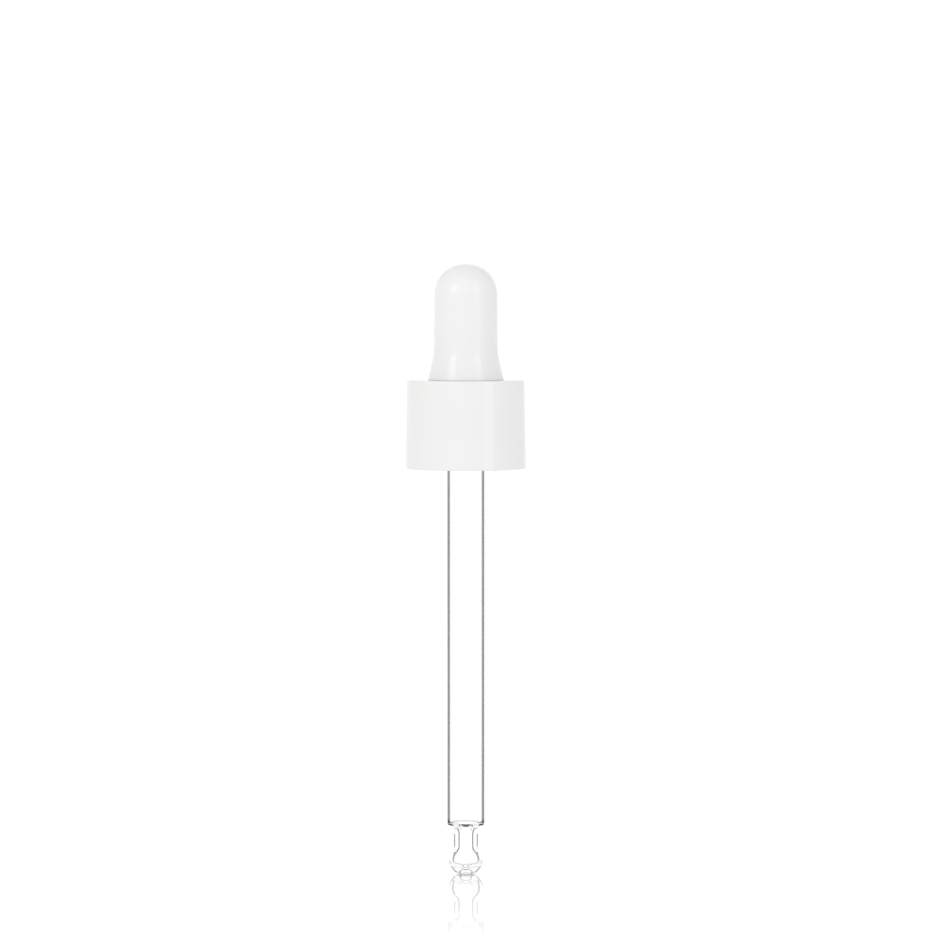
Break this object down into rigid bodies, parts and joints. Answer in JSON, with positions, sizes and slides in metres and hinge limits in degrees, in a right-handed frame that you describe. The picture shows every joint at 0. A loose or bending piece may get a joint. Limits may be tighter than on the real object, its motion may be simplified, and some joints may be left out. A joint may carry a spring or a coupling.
{
  "type": "medicine dropper",
  "caption": "Medicine dropper: a hollow squeeze bulb and a glass pipette with a bell tip, held in a smooth screw collar that closes a small bottle.",
  "frame": {"origin": "on the dropper's axis, in the plane of the gasket's underside, where a bottle's rim seats", "axes": "+Z along the dropper's axis, from the pipette's tip towards the bulb's dome"},
  "size_m": [0.023, 0.023, 0.1163],
  "materials": {
    "collar_plastic": "smooth white moulded polypropylene, satin gloss",
    "gasket_plastic": "soft natural polyethylene, matte",
    "clear_glass": "clear fire-polished glass",
    "bulb_silicone": "smooth white silicone rubber, soft satin gloss"
  },
  "bodies": {
    "collar": {"screw_collar": "collar_plastic", "neck_gasket": "gasket_plastic"},
    "pipette": {"glass_pipette": "clear_glass"},
    "bulb": {"rubber_bulb": "bulb_silicone"}
  },
  "joints": [
    {"name": "collar_swivel", "type": "hinge", "parent": "collar", "child": "pipette", "pos_m": [0, 0, 0], "axis": [0, 0, 1], "continuous": true},
    {"name": "bulb_press", "type": "slide", "parent": "pipette", "child": "bulb", "axis": [0, 0, -1], "range_m": [0, 0.006], "stiffness_N_per_m": 1000, "deforming": ["rubber_bulb"]}
  ]
}
